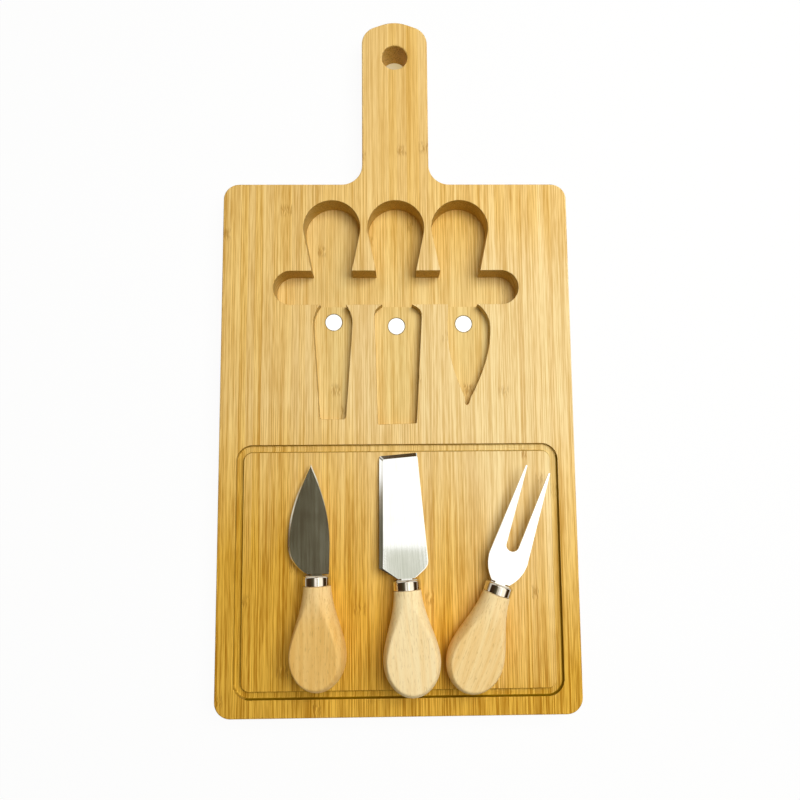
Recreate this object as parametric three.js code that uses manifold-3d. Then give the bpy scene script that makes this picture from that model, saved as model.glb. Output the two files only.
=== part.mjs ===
// A bamboo cheese board with a paddle handle, and the two knives and the fork that lie on it.
// The far half of the board has a pocket with a magnet for each tool, and the near half a juice groove.
// Lengths are in millimetres. X runs across the board, +Y towards its handle and +Z up.
// The origin is in the middle of the board's length and width, on the surface that it stands on.

import * as THREE from 'three';
import { mergeVertices } from 'three/addons/utils/BufferGeometryUtils.js';
import Module from 'manifold-3d';

// Board
const boardWidth = 200;
const bodyLength = 300;
const boardThickness = 15;
const bodyCornerRadius = 9;
const boardEdgeRound = 0.8;
const paddleWidth = 39;
const paddleLength = 101.3;
const paddleCornerRadius = 11;
const paddleEndRadius = 22;
const paddleEndSlope = Math.PI / 9;
const paddleRootRadius = 12;
const hangingHoleRadius = 7.5;
const hangingHoleFromEnd = 22.3;

// Juice groove, measured over its outer edge
const grooveMargin = 10;
const grooveFieldLength = 137.5;
const grooveWidth = 4.2;
const grooveDepth = 2;
const grooveCornerRadius = 9;
const grooveFloorRound = 1.2;

// Pockets for the handles, and the finger slot that joins them
const pocketPitch = 37.2;
const pocketFromShoulder = 9.8;
const pocketDepth = 12.5;
const pocketSideClearance = 1.35;
const pocketNeckWidth = 23.2;
const fingerSlotLength = 141.4;
const fingerSlotWidth = 20;
const fingerSlotFromShoulder = 62;

// Pockets for the blades, which run from the finger slot towards the near end
const bladeSideClearance = 0.4;
const bladeEndClearance = 3.5;
const bladeFloorClearance = 0.25;
const bladePocketCornerRadius = 2;
const flatPocketHeelRadius = 5;
const pointedPocketEnd = { across: -0.4, beyondTip: 0.2, radius: 1.1 };
const pointedPocketBlend = { across: 0.35, beyondTip: -4.6, radius: 1.95 };
const forkPocketOffset = 0.8;
const pointedPocketOffset = -0.3;

// Magnets, each let into the floor of a blade pocket
const magnetRadius = 5;
const magnetThickness = 3;
const forkMagnetFromSlot = 9;
const flatMagnetFromSlot = 11.4;
const pointedMagnetFromSlot = 10.2;
const pointedMagnetOffset = 2.2;

// What all three tools share
const bellyRadius = 15.15;
const neckRadius = 7.4;
const handleLength = 53.7;
const handleEndLength = 18;
const handleThickness = 16;
const ferruleRadius = 7.5;
const ferruleLength = 5.5;
const ferruleWall = 0.7;
const ferruleRound = 1.4;
const bladeThickness = 1.5;
const bladeEdgeThickness = 0.3;
const tangWidth = 6;
const tangLength = 34;

// Pointed knife, whose cutting edge bellies out on the left of the tool's axis
const pointedLength = 59.5;
const pointedEdgeReach = 16.5;
const pointedSpineReach = 7.3;
const pointedTipOffset = 3.1;
const pointedBevelWidth = 1;
const pointedRoll = 10;

// Flat knife, whose square tip is its cutting edge
const flatLength = 68.2;
const flatBaseWidth = 9;
const flatHeelReach = 14.3;
const flatHeelRadius = 0.8;
const flatBackReach = 12.4;
const flatBackRadius = 6;
const flatShoulderRise = 6.4;
const flatTipWidth = 21.2;
const flatTipSlant = 0.6;
const flatTipRadius = 0.8;
const flatBevelLength = 2;

// Fork, with two prongs
const forkLength = 65;
const forkHalfWidth = 10.8;
const forkShoulderRise = 14;
const forkTipHalfWidth = 7.05;
const prongTipWidth = 1.2;
const prongGapRadius = 3.4;
const prongGapStart = 18;

// The gap between two pieces, and how far a cutting shape runs past the face that it cuts
const fitGap = 0.3;
const overrun = 5;

// Steps in a full turn
const turnSteps = 48;

// How far the flat knife lies from the board's middle, and the other two tools from it
const flatFromMiddle = 4.4;
const pointedFromFlat = 48;
const forkFromFlat = 50.2;

// Where each tool's ferrule begins: across the board, and as a share of the groove field's length.
// The turn from the board's length is in degrees.
const pointedPlace = { x: flatFromMiddle - pointedFromFlat, alongShare: 0.489, turn: 1.2 };
const flatPlace = { x: flatFromMiddle, alongShare: 0.466, turn: 3.4 };
const forkPlace = { x: flatFromMiddle + forkFromFlat, alongShare: 0.446, turn: -20 };

// Points of the blades' curves: shares of the blade's reach to that side, and of its length
const pointedShares = {
  base: [-0.35, 0],
  heel: [-0.66, 0.045],
  heelBelly: [-1, 0.13],
  belly: [-1, 0.28],
  edgeBelly: [-1, 0.555],
  edgeTip: [-0.54, 0.82],
  spineTip: [-0.07, 0.89],
  spineBelly: [1, 0.64],
  spine: [1, 0.27],
  spineBase: [0.93, 0],
};

// Points of the fork's shoulder: shares of its half width and of the shoulder's rise
const shoulderShares = { base: [0.46, 0], low: [0.74, 0.24], high: [0.99, 0.55] };

// Points of a handle's profile between its neck and its belly: shares of the belly's radius
// and of the length from the ferrule to the belly
const profileShares = { neck: [0.528, 0.4], belly: [1, 0.7] };

const totalLength = bodyLength + paddleLength;
const nearEnd = -totalLength / 2;
const farEnd = totalLength / 2;
const shoulder = nearEnd + bodyLength;
const fingerSlotY = shoulder - fingerSlotFromShoulder;
const fingerSlotNearEdge = fingerSlotY - fingerSlotWidth / 2;
const handleEnd = -ferruleLength - fitGap - handleLength;
const bladePocketDepth = pocketDepth - handleThickness / 2 + bladeThickness / 2 + bladeFloorClearance;
const bladePocketFloor = boardThickness - bladePocketDepth;

// Where a stored tool's ferrule begins: its blade then points to the near end
const storedFrontY = shoulder - pocketFromShoulder - fitGap + handleEnd;

const wasm = await Module();
wasm.setup();

const bamboo = new THREE.MeshStandardMaterial({ color: 0xdcb26a, roughness: 0.55, metalness: 0 });
const nickel = new THREE.MeshStandardMaterial({ color: 0xe8e8e6, roughness: 0.25, metalness: 1 });
const bladeSteel = new THREE.MeshStandardMaterial({ color: 0xcfcfcc, roughness: 0.3, metalness: 1 });
const ferruleSteel = new THREE.MeshStandardMaterial({ color: 0xd8d8d8, roughness: 0.12, metalness: 1 });
const paleWood = new THREE.MeshStandardMaterial({ color: 0xe6c48d, roughness: 0.6, metalness: 0 });

// A closed geometry as a solid that can be joined and cut
function solid(geometry) {
  const bare = geometry.clone();
  bare.deleteAttribute('normal');
  bare.deleteAttribute('uv');
  const merged = mergeVertices(bare);
  const corners = merged.index.array;
  const triangles = [];
  for (let i = 0; i < corners.length; i += 3) {
    const [a, b, c] = [corners[i], corners[i + 1], corners[i + 2]];
    if (a !== b && b !== c && c !== a) triangles.push(a, b, c);
  }
  const vertProperties = new Float32Array(merged.attributes.position.array);
  return new wasm.Manifold(new wasm.Mesh({ numProp: 3, vertProperties, triVerts: new Uint32Array(triangles) }));
}

// A solid as a named mesh
function namedMesh(name, piece, material) {
  const { vertProperties, triVerts } = piece.getMesh();
  const geometry = new THREE.BufferGeometry();
  geometry.setAttribute('position', new THREE.BufferAttribute(new Float32Array(vertProperties), 3));
  geometry.setIndex(new THREE.BufferAttribute(new Uint32Array(triVerts), 1));
  geometry.computeVertexNormals();
  const mesh = new THREE.Mesh(geometry, material);
  mesh.name = name;
  return mesh;
}

// A closed outline through the corners [x, y, radius], each rounded as far as its sides allow
function roundedOutline(corners) {
  const shape = new THREE.Shape();
  corners.forEach(([x, y, radius], i) => {
    const corner = new THREE.Vector2(x, y);
    const before = new THREE.Vector2(...corners.at(i - 1)).sub(corner);
    const after = new THREE.Vector2(...corners[(i + 1) % corners.length]).sub(corner);
    const halfAngle = Math.acos(before.dot(after) / before.length() / after.length()) / 2;
    const room = Math.min(before.length(), after.length()) / 2;
    const reach = Math.min(radius / Math.tan(halfAngle), room);
    const start = corner.clone().addScaledVector(before.normalize(), reach);
    const end = corner.clone().addScaledVector(after.normalize(), reach);
    const middle = before.clone().add(after).normalize();
    const centre = corner.clone().addScaledVector(middle, reach / Math.cos(halfAngle));
    const clockwise = before.cross(after) > 0;
    const from = start.clone().sub(centre);
    const to = end.clone().sub(centre);
    if (i === 0) shape.moveTo(start.x, start.y);
    shape.absarc(centre.x, centre.y, from.length(), from.angle(), to.angle(), clockwise);
  });
  return shape;
}

function roundedRectangle(left, right, near, far, radius) {
  return roundedOutline([
    [left, near, radius],
    [right, near, radius],
    [right, far, radius],
    [left, far, radius],
  ]);
}

// A solid on an outline, from the height `bottom` to the height `top`
function prism(outline, bottom, top) {
  const settings = { depth: top - bottom, bevelEnabled: false, curveSegments: turnSteps / 4 };
  return solid(new THREE.ExtrudeGeometry(outline, settings).translate(0, 0, bottom));
}

// The same with its upper and lower edges cut back inside the outline, over a width and a height
function bevelledPrism(outline, bottom, top, width, height, steps) {
  const settings = {
    depth: top - bottom - 2 * height,
    bevelThickness: height,
    bevelSize: width,
    bevelOffset: -width,
    bevelSegments: steps,
    curveSegments: turnSteps / 4,
  };
  return solid(new THREE.ExtrudeGeometry(outline, settings).translate(0, 0, bottom + height));
}

function box(left, right, near, far, bottom, top) {
  const geometry = new THREE.BoxGeometry(right - left, far - near, top - bottom);
  return solid(geometry.translate((left + right) / 2, (near + far) / 2, (bottom + top) / 2));
}

function disc(x, y, radius, bottom, top) {
  const geometry = new THREE.CylinderGeometry(radius, radius, top - bottom, turnSteps);
  return solid(geometry.rotateX(Math.PI / 2).translate(x, y, (bottom + top) / 2));
}

// A solid turned on the tool's axis, from a profile of radii and places along that axis
function turned(profile) {
  return solid(new THREE.LatheGeometry(profile, turnSteps));
}

// The slab's outline: a rectangle with the paddle handle on its far side, which ends in a low arch
function boardOutline() {
  const side = boardWidth / 2;
  const paddleSide = paddleWidth / 2;
  const peak = farEnd + paddleEndRadius * (1 / Math.cos(paddleEndSlope) - 1);
  const corner = peak - paddleSide * Math.tan(paddleEndSlope);
  return roundedOutline([
    [-side, nearEnd, bodyCornerRadius],
    [side, nearEnd, bodyCornerRadius],
    [side, shoulder, bodyCornerRadius],
    [paddleSide, shoulder, paddleRootRadius],
    [paddleSide, corner, paddleCornerRadius],
    [0, peak, paddleEndRadius],
    [-paddleSide, corner, paddleCornerRadius],
    [-paddleSide, shoulder, paddleRootRadius],
    [-side, shoulder, bodyCornerRadius],
  ]);
}

// The ring that the juice groove takes out of the top face, with a rounded floor
function grooveCutter() {
  const side = boardWidth / 2 - grooveMargin;
  const near = nearEnd + grooveMargin;
  const far = near + grooveFieldLength;
  const ring = roundedRectangle(-side, side, near, far, grooveCornerRadius);
  const inside = [grooveWidth - side, side - grooveWidth, near + grooveWidth, far - grooveWidth];
  ring.holes.push(roundedRectangle(...inside, grooveCornerRadius - grooveWidth));
  const floor = boardThickness - grooveDepth;
  return bevelledPrism(ring, floor, boardThickness + overrun, grooveFloorRound, grooveFloorRound, 2);
}

// A handle's pocket: a circle round the belly, with straight sides down to the neck in the finger slot
function handlePocketOutline(x) {
  const radius = bellyRadius + pocketSideClearance;
  const centreY = shoulder - pocketFromShoulder - radius;
  const neckSide = pocketNeckWidth / 2;
  const neckY = fingerSlotY + fingerSlotWidth / 2;
  const drop = centreY - neckY;
  const lean = Math.asin(radius / Math.hypot(neckSide, drop)) - Math.atan2(neckSide, drop);
  const shape = new THREE.Shape();
  shape.moveTo(x - neckSide, fingerSlotY);
  shape.lineTo(x + neckSide, fingerSlotY);
  shape.lineTo(x + neckSide, neckY);
  shape.absarc(x, centreY, radius, -lean, Math.PI + lean, false);
  shape.lineTo(x - neckSide, neckY);
  return shape;
}

function fingerSlotOutline() {
  const side = fingerSlotLength / 2;
  const half = fingerSlotWidth / 2;
  return roundedRectangle(-side, side, fingerSlotY - half, fingerSlotY + half, half);
}

// The three blades' outlines lie in the tool's own frame, with the front of the ferrule at zero and
// the blade along +Y. They can be drawn larger, as the pockets need them.
function pointedOutline(edgeGrowth, spineGrowth, endGrowth) {
  const edge = pointedEdgeReach + edgeGrowth;
  const spine = pointedSpineReach + spineGrowth;
  const length = pointedLength + endGrowth;
  const onEdge = ([side, along]) => [side * edge, fitGap + along * (length - fitGap)];
  const onSpine = ([side, along]) => [side * spine, fitGap + along * (length - fitGap)];
  const s = pointedShares;
  const shape = new THREE.Shape();
  shape.moveTo(...onSpine(s.spineBase));
  shape.lineTo(...onSpine(s.spine));
  shape.bezierCurveTo(...onSpine(s.spineBelly), ...onSpine(s.spineTip), -pointedTipOffset, length);
  shape.bezierCurveTo(...onEdge(s.edgeTip), ...onEdge(s.edgeBelly), ...onEdge(s.belly));
  shape.bezierCurveTo(...onEdge(s.heelBelly), ...onEdge(s.heel), ...onEdge(s.base));
  return shape;
}

function flatOutline(sideGrowth, endGrowth, heelRadius) {
  const baseSide = flatBaseWidth / 2 + sideGrowth;
  const heel = flatHeelReach + sideGrowth;
  const back = flatBackReach + sideGrowth;
  const tip = flatTipWidth / 2 + sideGrowth;
  const end = flatLength + endGrowth;
  return roundedOutline([
    [-baseSide, fitGap, 0],
    [baseSide, fitGap, 0],
    [back, flatShoulderRise, flatBackRadius],
    [tip, end, flatTipRadius],
    [-tip, end - flatTipSlant, flatTipRadius],
    [-heel, flatShoulderRise, heelRadius],
  ]);
}

function forkOutline(sideGrowth, endGrowth, cornerRadius) {
  const side = forkHalfWidth + sideGrowth;
  const tip = forkTipHalfWidth + sideGrowth;
  const length = forkLength + endGrowth;
  const at = ([across, rise]) => [across * side, fitGap + rise * (forkShoulderRise - fitGap)];
  const { base, low, high } = shoulderShares;
  const mirrored = ([x, y]) => [-x, y];
  const shape = new THREE.Shape();
  shape.moveTo(...mirrored(at(base)));
  shape.lineTo(...at(base));
  shape.bezierCurveTo(...at(low), ...at(high), side, forkShoulderRise);
  shape.lineTo(tip, length - cornerRadius);
  shape.quadraticCurveTo(tip, length, tip - cornerRadius, length);
  shape.lineTo(cornerRadius - tip, length);
  shape.quadraticCurveTo(-tip, length, -tip, length - cornerRadius);
  shape.lineTo(-side, forkShoulderRise);
  shape.bezierCurveTo(...mirrored(at(high)), ...mirrored(at(low)), ...mirrored(at(base)));
  return shape;
}

// A blade's pocket: the blade's outline drawn larger, turned round to where the tool is stored
function bladePocketCutter(outline, x) {
  const cutter = prism(outline, bladePocketFloor, boardThickness + overrun);
  return cutter.rotate([0, 0, 180]).translate([x, storedFrontY + bladeSideClearance, 0]);
}

// Where the outer blade pockets lie across the board, and the places of the three magnets
const forkPocketX = -pocketPitch + forkPocketOffset;
const pointedPocketX = pocketPitch + pointedPocketOffset;
const magnets = [
  ['magnet_left', forkPocketX, fingerSlotNearEdge - forkMagnetFromSlot],
  ['magnet_middle', 0, fingerSlotNearEdge - flatMagnetFromSlot],
  ['magnet_right', pointedPocketX + pointedMagnetOffset, fingerSlotNearEdge - pointedMagnetFromSlot],
];

function boardSolid() {
  const top = boardThickness + overrun;
  const pocketFloor = boardThickness - pocketDepth;
  const side = bladeSideClearance;
  const end = bladeSideClearance + bladeEndClearance;
  const cutters = [
    disc(0, farEnd - hangingHoleFromEnd, hangingHoleRadius, -overrun, top),
    grooveCutter(),
    prism(fingerSlotOutline(), pocketFloor, top),
    bladePocketCutter(forkOutline(side, end, bladePocketCornerRadius), forkPocketX),
    bladePocketCutter(flatOutline(side, end, flatPocketHeelRadius), 0),
    bladePocketCutter(pointedOutline(side, side, 2 * side), pointedPocketX),
  ];
  for (const x of [-pocketPitch, 0, pocketPitch]) cutters.push(prism(handlePocketOutline(x), pocketFloor, top));
  for (const [, x, y] of magnets) {
    cutters.push(disc(x, y, magnetRadius + fitGap, bladePocketFloor - magnetThickness - fitGap, top));
  }
  // The pointed pocket ends in a small round that runs straight into its two sides
  const rounds = [pointedPocketEnd, pointedPocketBlend].map(({ across, beyondTip, radius }) => disc(
    pointedPocketX + pointedTipOffset + across,
    storedFrontY - pointedLength - beyondTip,
    radius, bladePocketFloor, top,
  ));
  cutters.push(wasm.Manifold.hull(rounds));
  let slab = bevelledPrism(boardOutline(), 0, boardThickness, boardEdgeRound, boardEdgeRound, 2);
  for (const cutter of cutters) slab = slab.subtract(cutter);
  return slab;
}

// A blade plate lies in the middle of its tool's thickness
const plateBottom = -bladeThickness / 2;
const plateTop = bladeThickness / 2;

function pointedPlate() {
  const plate = prism(pointedOutline(0, 0, 0), plateBottom, plateTop);
  const width = pointedBevelWidth;
  const height = (bladeThickness - bladeEdgeThickness) / 2;
  const ground = bevelledPrism(pointedOutline(0, 2 * width, 0), plateBottom, plateTop, width, height, 1);
  return plate.intersect(ground);
}

// The flat knife's tip is ground on its upper face. The wedge's outline is drawn along and up, and
// then stood across the blade.
function flatPlate() {
  const plate = prism(flatOutline(0, 0, flatHeelRadius), plateBottom, plateTop);
  const slope = (bladeThickness - bladeEdgeThickness) / flatBevelLength;
  const shape = new THREE.Shape();
  shape.moveTo(flatLength - flatBevelLength, plateTop);
  shape.lineTo(flatLength + overrun, plateTop - slope * (flatBevelLength + overrun));
  shape.lineTo(flatLength + overrun, plateTop + overrun);
  shape.lineTo(flatLength - flatBevelLength, plateTop + overrun);
  const geometry = new THREE.ExtrudeGeometry(shape, { depth: 2 * flatTipWidth, bevelEnabled: false });
  geometry.translate(0, 0, -flatTipWidth);
  const along = new THREE.Vector3(0, 1, 0);
  const up = new THREE.Vector3(0, 0, 1);
  const across = new THREE.Vector3(1, 0, 0);
  geometry.applyMatrix4(new THREE.Matrix4().makeBasis(along, up, across));
  return plate.subtract(solid(geometry));
}

// The gap between the prongs widens from its round bottom to the tips
function forkPlate() {
  const plate = prism(forkOutline(0, 0, prongTipWidth / 2), plateBottom, plateTop);
  const centreY = prongGapStart + prongGapRadius;
  const mouth = forkTipHalfWidth - prongTipWidth;
  const spread = (mouth - prongGapRadius) / (forkLength - centreY) * overrun;
  const gap = new THREE.Shape();
  gap.moveTo(mouth + spread, forkLength + overrun);
  gap.lineTo(-mouth - spread, forkLength + overrun);
  gap.lineTo(-prongGapRadius, centreY);
  gap.absarc(0, centreY, prongGapRadius, Math.PI, 2 * Math.PI, false);
  return plate.subtract(prism(gap, plateBottom - overrun, plateTop + overrun));
}

// The tang, or the slot that it passes through when drawn with a gap all round
function tang(gap) {
  const side = tangWidth / 2 + gap;
  return box(-side, side, -tangLength - gap, 2 * fitGap, plateBottom - gap, plateTop + gap);
}

// A pressed cap with a rounded front edge
function ferruleSolid() {
  const radius = ferruleRadius;
  const profile = new THREE.Path();
  profile.moveTo(0, -ferruleWall);
  profile.lineTo(radius - ferruleWall, -ferruleWall);
  profile.lineTo(radius - ferruleWall, -ferruleLength);
  profile.lineTo(radius, -ferruleLength);
  profile.lineTo(radius, -ferruleRound);
  profile.absarc(radius - ferruleRound, -ferruleRound, ferruleRound, 0, Math.PI / 2, false);
  profile.lineTo(0, 0);
  return turned(profile.getPoints(turnSteps / 8)).subtract(tang(fitGap));
}

// A turned handle with a flat above and below, a spigot inside the ferrule and a slot for the tang
function handleSolid() {
  const spigot = ferruleRadius - ferruleWall - fitGap;
  const neckY = -ferruleLength - fitGap;
  const bellyY = handleEnd + handleEndLength;
  const at = ([radius, along]) => [radius * bellyRadius, neckY + along * (bellyY - neckY)];
  const profile = new THREE.Path();
  profile.moveTo(0, handleEnd);
  profile.absellipse(0, bellyY, bellyRadius, handleEndLength, -Math.PI / 2, 0, false);
  profile.bezierCurveTo(...at(profileShares.belly), ...at(profileShares.neck), neckRadius, neckY);
  profile.lineTo(spigot, neckY);
  profile.lineTo(spigot, -ferruleWall - fitGap);
  profile.lineTo(0, -ferruleWall - fitGap);
  const reach = 2 * bellyRadius;
  const slab = box(-reach, reach, handleEnd - overrun, overrun, -handleThickness / 2, handleThickness / 2);
  return turned(profile.getPoints(turnSteps / 4)).intersect(slab).subtract(tang(fitGap));
}

// A whole tool, laid on the board's groove field by its angles and then lowered to rest there
function layTool(name, plate, place, pitch, roll) {
  const tool = new THREE.Group();
  tool.add(namedMesh(`${name}_blade`, plate.add(tang(0)), bladeSteel));
  tool.add(namedMesh(`${name}_ferrule`, ferruleSolid(), ferruleSteel));
  tool.add(namedMesh(`${name}_handle`, handleSolid(), paleWood));
  const fieldNear = nearEnd + grooveMargin + grooveWidth;
  const fieldLength = grooveFieldLength - 2 * grooveWidth;
  tool.rotation.set(pitch, roll, THREE.MathUtils.degToRad(place.turn), 'ZXY');
  tool.position.set(place.x, fieldNear + place.alongShare * fieldLength, 0);
  tool.position.z = boardThickness + fitGap - new THREE.Box3().setFromObject(tool, true).min.z;
  return tool;
}

// The flat knife's blade is the heavier end, so it rests on its ferrule and its tip
const flatPitch = -Math.atan2(ferruleRadius - bladeThickness / 2, flatLength);

// The pointed knife leans towards its edge, on the lower rim of its handle's flat and on its ferrule
const pointedLean = THREE.MathUtils.degToRad(pointedRoll);
const flatSide = Math.sqrt(bellyRadius ** 2 - (handleThickness / 2) ** 2);
const rimDrop = flatSide * Math.sin(pointedLean) + handleThickness / 2 * Math.cos(pointedLean);
const rimDistance = handleLength + fitGap + ferruleLength / 2 - handleEndLength;
const pointedPitch = -Math.atan2(rimDrop - ferruleRadius, rimDistance);

const group = new THREE.Group();
group.add(namedMesh('board', boardSolid(), bamboo));
for (const [name, x, y] of magnets) {
  group.add(namedMesh(name, disc(x, y, magnetRadius, bladePocketFloor - magnetThickness, bladePocketFloor), nickel));
}
group.add(layTool('pointed_knife', pointedPlate(), pointedPlace, pointedPitch, -pointedLean));
group.add(layTool('flat_knife', flatPlate(), flatPlace, flatPitch, 0));
group.add(layTool('fork', forkPlate(), forkPlace, 0, 0));

export default group;
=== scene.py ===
# A bamboo cheese board with two knives and a fork lying on it, made piece by piece in the order in
# which the real one is put together. Lengths are in metres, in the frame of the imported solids.
import math

import bmesh
import bpy
from mathutils import Matrix, Vector
from mathutils.geometry import convex_hull_2d


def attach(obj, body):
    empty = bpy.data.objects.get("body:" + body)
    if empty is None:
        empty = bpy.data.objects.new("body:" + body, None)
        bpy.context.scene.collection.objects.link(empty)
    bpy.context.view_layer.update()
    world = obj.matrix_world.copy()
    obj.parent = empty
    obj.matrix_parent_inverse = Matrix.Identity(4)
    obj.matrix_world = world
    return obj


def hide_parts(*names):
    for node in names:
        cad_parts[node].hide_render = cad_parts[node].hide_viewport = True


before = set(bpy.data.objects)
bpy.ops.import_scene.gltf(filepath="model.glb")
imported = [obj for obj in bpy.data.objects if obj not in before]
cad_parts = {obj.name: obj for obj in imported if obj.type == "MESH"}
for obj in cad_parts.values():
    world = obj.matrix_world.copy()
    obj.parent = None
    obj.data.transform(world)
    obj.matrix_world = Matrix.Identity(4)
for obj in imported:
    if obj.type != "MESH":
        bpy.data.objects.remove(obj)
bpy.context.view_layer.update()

# The board's blank is one slab of bamboo strips, glued edge to edge and sanded flat. It is sawn to
# a rectangle with a paddle handle that ends in a low arch, and all its edges are eased by hand.
board_width = 0.200
body_length = 0.300
board_thickness = 0.015
body_corner = 0.009
edge_round = 0.0008
paddle_width = 0.039
paddle_length = 0.1013
paddle_corner = 0.011
paddle_end_radius = 0.022
paddle_end_slope = math.radians(20)
paddle_root = 0.012
near_end = -(body_length + paddle_length) / 2
far_end = -near_end
shoulder = near_end + body_length
corner_steps = 12
round_steps = 3
nearest = 1e-6


def with_neighbours(row):
    """Each item of a closed row, between the one before it and the one after it."""
    return zip(row[-1:] + row[:-1], row, row[1:] + row[:1])


def without_doubles(outline):
    return [p for i, p in enumerate(outline) if (p - outline[i - 1]).length > nearest]


def rounded(corners, steps=corner_steps):
    """A closed outline through corners (x, y, radius), each rounded as far as its sides allow."""
    outline = []
    for before, (x, y, radius), after in with_neighbours(corners):
        corner = Vector((x, y))
        if radius == 0:
            outline.append(corner)
            continue
        back = Vector(before[:2]) - corner
        ahead = Vector(after[:2]) - corner
        half_angle = back.angle(ahead) / 2
        room = min(back.length, ahead.length) / 2
        reach = min(radius / math.tan(half_angle), room)
        back.normalize()
        ahead.normalize()
        centre = corner + (back + ahead).normalized() * (reach / math.cos(half_angle))
        start = corner + back * reach - centre
        sweep = start.angle_signed(corner + ahead * reach - centre)
        for step in range(steps + 1):
            outline.append(centre + Matrix.Rotation(-sweep * step / steps, 2) @ start)
    return without_doubles(outline)


def grown(outline, distance):
    """An anticlockwise outline moved outwards, with its corners kept sharp."""
    moved = []
    for before, point, after in with_neighbours(outline):
        into = Vector((point.y - before.y, before.x - point.x)).normalized()
        out_of = Vector((after.y - point.y, point.x - after.x)).normalized()
        moved.append(point + (into + out_of) * (distance / (1 + into.dot(out_of))))
    return moved


def level(outline, height, growth=0.0):
    """An outline laid flat at a height, moved outwards if it has to grow."""
    return [(p.x, p.y, height) for p in (grown(outline, growth) if growth else outline)]


def in_scene(name, data):
    """Puts a mesh, a light or a camera into the scene under a name."""
    made = bpy.data.objects.new(name, data)
    bpy.context.scene.collection.objects.link(made)
    return made


def skinned(name, rings):
    """A closed piece over rings of points, each ring above the one before it."""
    skin = bmesh.new()
    rows = [[skin.verts.new(point) for point in ring] for ring in rings]
    for low, high in zip(rows, rows[1:]):
        for i, corner in enumerate(low):
            skin.faces.new((low[i - 1], corner, high[i], high[i - 1]))
    skin.faces.new(reversed(rows[0]))
    skin.faces.new(rows[-1])
    mesh = bpy.data.meshes.new(name)
    skin.to_mesh(mesh)
    skin.free()
    return in_scene(name, mesh)


def quarter_turn(steps=round_steps):
    """The angles of a rounding, from 0 to 90 degrees."""
    return [math.pi / 2 * step / steps for step in range(steps + 1)]


def eased(name, outline, bottom, top, radius):
    """A flat piece on an outline, with its lower and upper edges rounded off."""
    lower = [level(outline, bottom + radius * (1 - math.cos(turn)), radius * (math.sin(turn) - 1))
             for turn in quarter_turn()]
    upper = [level(outline, top - radius * (1 - math.sin(turn)), radius * (math.cos(turn) - 1))
             for turn in quarter_turn()]
    return skinned(name, lower + upper)


body_side = board_width / 2
paddle_side = paddle_width / 2
paddle_peak = far_end + paddle_end_radius * (1 / math.cos(paddle_end_slope) - 1)
paddle_turn = paddle_peak - paddle_side * math.tan(paddle_end_slope)
board_outline = rounded([
    (-body_side, near_end, body_corner),
    (body_side, near_end, body_corner),
    (body_side, shoulder, body_corner),
    (paddle_side, shoulder, paddle_root),
    (paddle_side, paddle_turn, paddle_corner),
    (0, paddle_peak, paddle_end_radius),
    (-paddle_side, paddle_turn, paddle_corner),
    (-paddle_side, shoulder, paddle_root),
    (-body_side, shoulder, body_corner),
])
board = eased("bamboo_board", board_outline, 0, board_thickness, edge_round)
bamboo = bpy.data.materials.new("bamboo")
board.data.materials.append(bamboo)

# Everything is then routed into the top face. First the hanging hole, which goes right through the
# paddle, the three pockets in the shape of the tools' handles, and the finger slot that joins them.
rim_round = 0.0003
clear_above = 0.005
hole_radius = 0.0075
hole_margin = 0.0223
hole_y = far_end - hole_margin
pocket_pitch = 0.0372
pocket_count = 3
pocket_radius = 0.0165
pocket_margin = 0.0098
pocket_y = shoulder - pocket_margin - pocket_radius
pocket_neck = 0.0116
pocket_depth = 0.0125
pocket_floor = board_thickness - pocket_depth
slot_half_length = 0.0707
slot_half_width = 0.010
slot_margin = 0.062
slot_y = shoulder - slot_margin
circle_steps = 64
routed_bamboo = bpy.data.materials.new("routed bamboo")


def soft_rim(radius):
    """How a cutter flares at the surface to leave a rounded rim, in steps (outward, down)."""
    turns = quarter_turn()[:-1]
    steps = [(radius * (1 - math.cos(turn)), radius * (1 - math.sin(turn))) for turn in turns]
    run = radius + radius * math.cos(turns[-1])
    rise = radius * (1 - math.sin(turns[-1]))
    return steps + [(run, -rise), (run, -clear_above)]


def cutter(name, outline, floor, rim=rim_round, top=board_thickness):
    """A cutting shape down to a floor, flared at the surface."""
    flare = [level(outline, top - down, outward) for outward, down in soft_rim(rim)]
    shape = skinned(name, [level(outline, floor)] + flare)
    shape.data.materials.append(routed_bamboo)
    return shape


def circle(x, y, radius):
    turns = [2 * math.pi * step / circle_steps for step in range(circle_steps)]
    return [Vector((x + radius * math.cos(turn), y + radius * math.sin(turn))) for turn in turns]


def settled(piece):
    """Turns a piece and its modifiers into a plain mesh."""
    bpy.context.view_layer.update()
    shaped = piece.evaluated_get(bpy.context.evaluated_depsgraph_get())
    mesh = bpy.data.meshes.new_from_object(shaped)
    piece.modifiers.clear()
    piece.data = mesh
    return piece


def cut(piece, cutters):
    """Takes the cutting shapes out of a piece. Each cut face keeps its cutter's material."""
    for shape in cutters:
        modifier = piece.modifiers.new(shape.name, "BOOLEAN")
        modifier.operation = "DIFFERENCE"
        modifier.solver = "EXACT"
        modifier.material_mode = "TRANSFER"
        modifier.object = shape
    settled(piece)
    for shape in cutters:
        bpy.data.objects.remove(shape)


def fill(tree, made, inputs):
    """Gives each named input of a node its value, or a link to the node that works it out."""
    for key, value in inputs.items():
        if isinstance(value, bpy.types.NodeSocket):
            tree.links.new(value, made.inputs[key])
        else:
            made.inputs[key].default_value = value


def node(tree, kind, inputs=None, **settings):
    made = tree.nodes.new(kind)
    for name, value in settings.items():
        setattr(made, name, value)
    fill(tree, made, inputs or {})
    return made


def calc(tree, operation, *values):
    return node(tree, "ShaderNodeMath", dict(enumerate(values)), operation=operation).outputs[0]


def times(tree, first, *others):
    """The product of several values."""
    for value in others:
        first = calc(tree, "MULTIPLY", first, value)
    return first


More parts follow.
